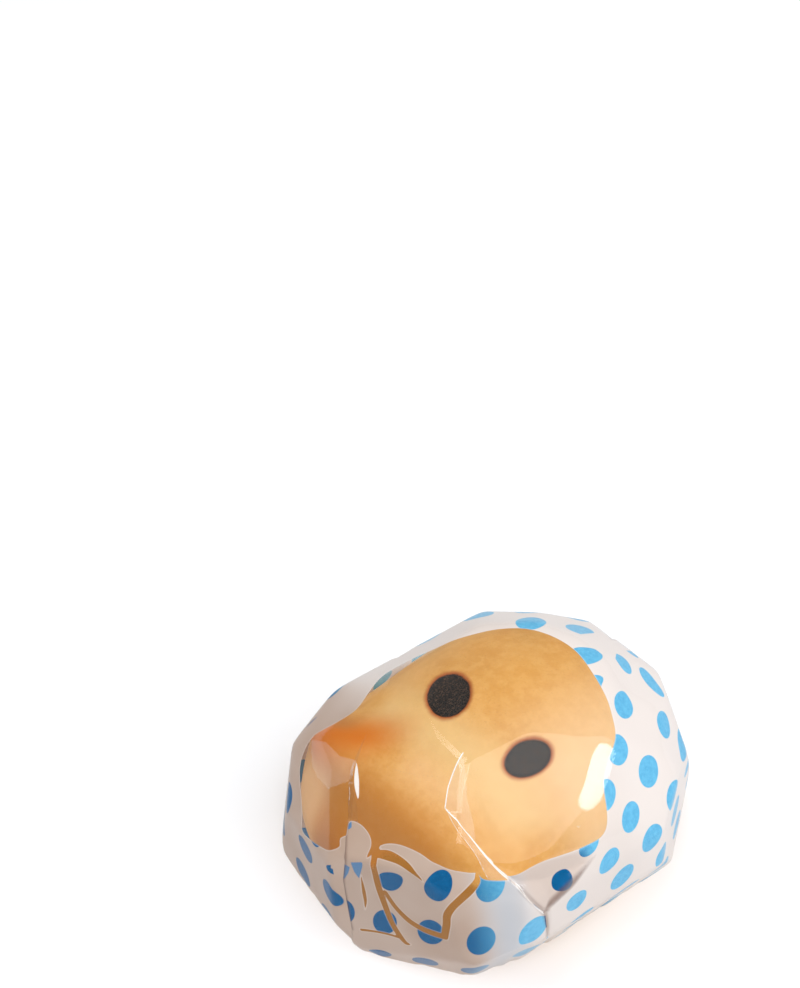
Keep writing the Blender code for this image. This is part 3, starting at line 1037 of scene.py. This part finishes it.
def make_print():
    """The ink layer: the film's grid just inside it, without its fully clear part."""
    bearings, heights = film_grid.bearings, film_grid.heights
    points = film_grid.points(INK_INSET)
    places = np.zeros((len(points), 2))
    for panel in range(len(PANEL_PRINTS)):
        here = film_grid.panel == panel
        first, second = lattice_places(panel, bearings[here], heights[here])
        places[here] = np.stack([first, second], axis=1)
    taut = on_film(bearings, heights)
    shape = film_grid.new_shape()
    lattice = shape.loops.layers.uv.new("lattice")
    for face in shape.faces:
        for loop in face.loops:
            loop[lattice].uv = places[loop.vert.index]
    store_amounts(shape, {
        "edge": depth_inside(taut, bearings, heights, WINDOW_EDGE),
        "recess": 1000.0 * (film_grid.taut - film_grid.reach),
        "stroke": nearest_stroke(taut, STROKES),
        "plain": depth_in_any(taut, bearings, heights, PLAIN_PARTS),
        "scrap": depth_in_any(taut, bearings, heights, SCRAPS),
        "fold": nearest_stroke(taut, FOLD_SHADOWS),
    })
    edge = shape.verts.layers.float["edge"]
    for vertex, point in zip(shape.verts, points):
        vertex.co = point
    clear = [
        face for face in shape.faces
        if min(vertex[edge] for vertex in face.verts) > CLEAR_MARGIN
    ]
    bmesh.ops.delete(shape, geom=clear, context="FACES")
    bmesh.ops.remove_doubles(shape, verts=shape.verts, dist=2e-6)
    printed = new_piece("wrapper_print", shape, print_material())
    printed.visible_shadow = False
    printed.visible_diffuse = False
    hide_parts("wrapper")
    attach(printed, "root")


make_print()


# The studio: a plain pale floor that runs out of sight, and four soft lights: one
# overhead, one on the right, a small bright one low behind on the right, which the
# film mirrors beside the cheek, and one on the left. The surround is weak and even.
LIGHTS_FACE = Vector((0.0, 0.0, 0.01))


def soft_light(name, place, size, strength, tint=(1.0, 1.0, 1.0)):
    """A soft light that faces the bun; strength is the brightness that a mirror would show."""
    data = bpy.data.lights.new(name, "AREA")
    data.shape = "RECTANGLE"
    data.size, data.size_y = size
    data.energy = strength * math.pi * size[0] * size[1]
    data.color = tint
    light = bpy.data.objects.new(name, data)
    light.location = place
    light.rotation_euler = (LIGHTS_FACE - Vector(place)).to_track_quat("-Z", "Y").to_euler()
    bpy.context.scene.collection.objects.link(light)


def floor_material():
    """Matt white studio board."""
    material, start = new_material("studio_floor")
    speck = start.tone("ShaderNodeTexCoord", "Object").grain(0.004, 2.0)
    shader = start.tone("ShaderNodeBsdfPrincipled", 0, None, {
        "Base Color": (speck * 0.2).mix((0.93, 0.95, 0.98, 1.0), (0.95, 0.97, 1.0, 1.0)),
        "Roughness": 0.8,
    })
    finish_material(start, shader)
    return material


floor_shape = bmesh.new()
bmesh.ops.create_grid(floor_shape, x_segments=4, y_segments=4, size=1.5)
new_piece("floor", floor_shape, floor_material())

soft_light("overhead", (0.188, -0.198, 0.752), (0.50, 0.50), 3.0)
soft_light("side", (0.40, 0.146, 0.553), (0.60, 0.60), 1.6)
soft_light("low", (0.576, 0.36, 0.424), (0.14, 0.18), 13.0, (0.80, 0.88, 1.0))
soft_light("left", (-0.28, -0.064, 0.744), (0.40, 0.40), 3.1)

world = bpy.data.worlds.new("surround")
world.use_nodes = True
world.node_tree.nodes["Background"].inputs["Color"].default_value = (1.0, 1.0, 1.0, 1.0)
world.node_tree.nodes["Background"].inputs["Strength"].default_value = 0.40
bpy.context.scene.world = world
